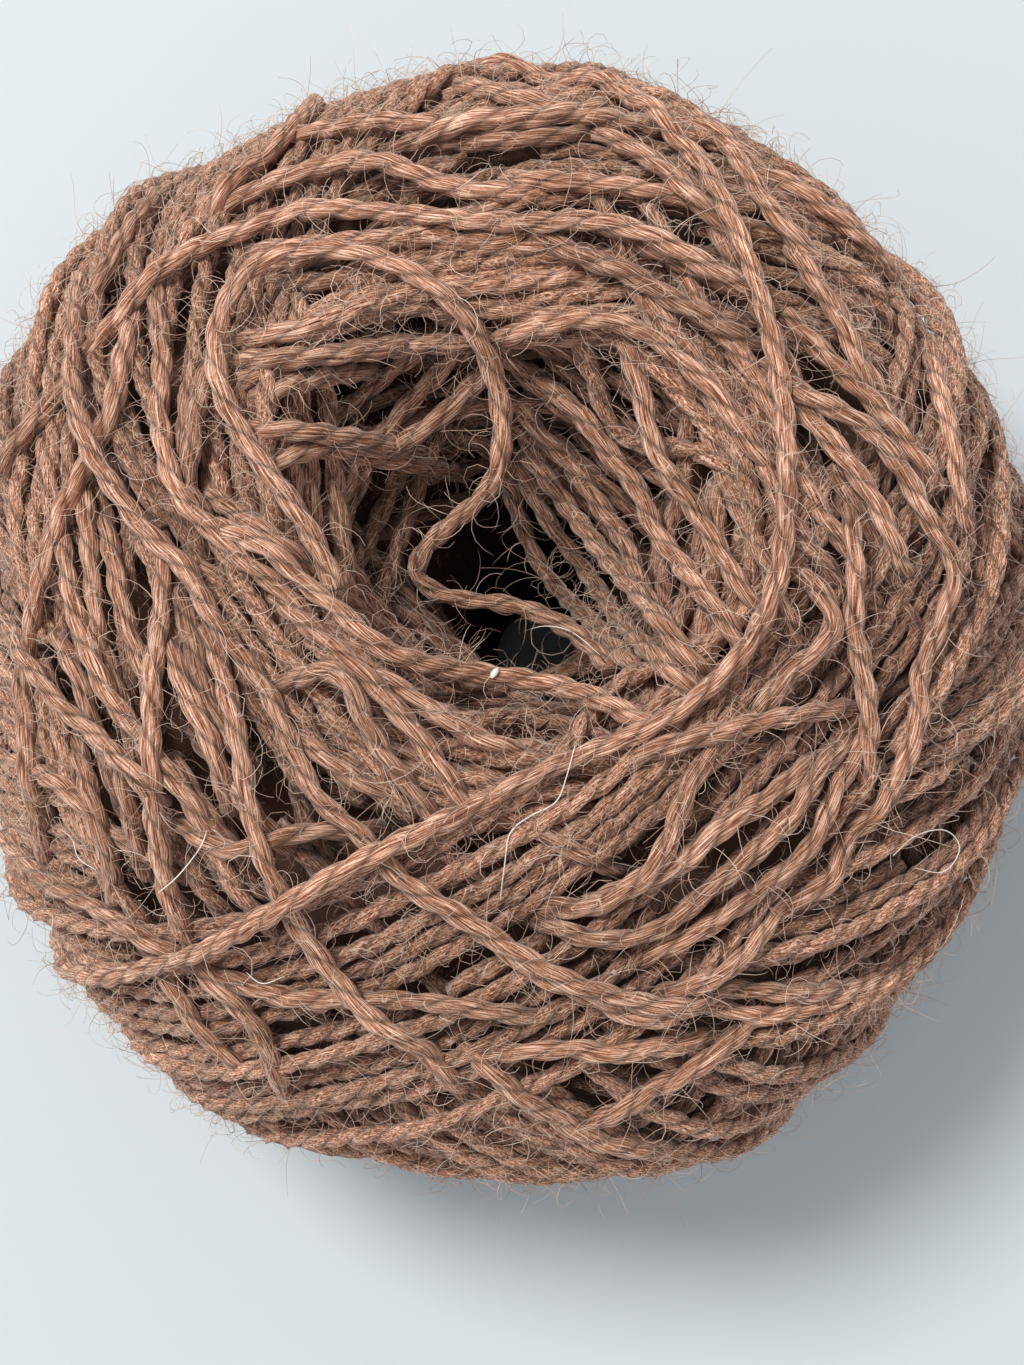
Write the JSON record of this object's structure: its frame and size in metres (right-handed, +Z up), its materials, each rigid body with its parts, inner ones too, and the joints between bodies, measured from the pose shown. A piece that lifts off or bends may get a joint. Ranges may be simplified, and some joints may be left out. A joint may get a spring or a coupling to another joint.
{
  "type": "ball of fingering yarn",
  "caption": "Hand-wound ball of fuzzy two-ply brown yarn, slightly flattened, with crossing swaths of turns, a funnel-shaped hole through its middle and a small flat spot to rest on.",
  "frame": {"origin": "middle of the base, under the middle of the ball's box, on the surface that the ball rests on", "axes": "+Z up along the hole, +Y towards the far side of the ball along its longest width, +X to the right"},
  "size_m": [0.079, 0.0832, 0.0601],
  "materials": {
    "yarn": "matt, fuzzy two-ply wool"
  },
  "bodies": {
    "root": {"wound_yarn": "yarn"}
  },
  "joints": []
}
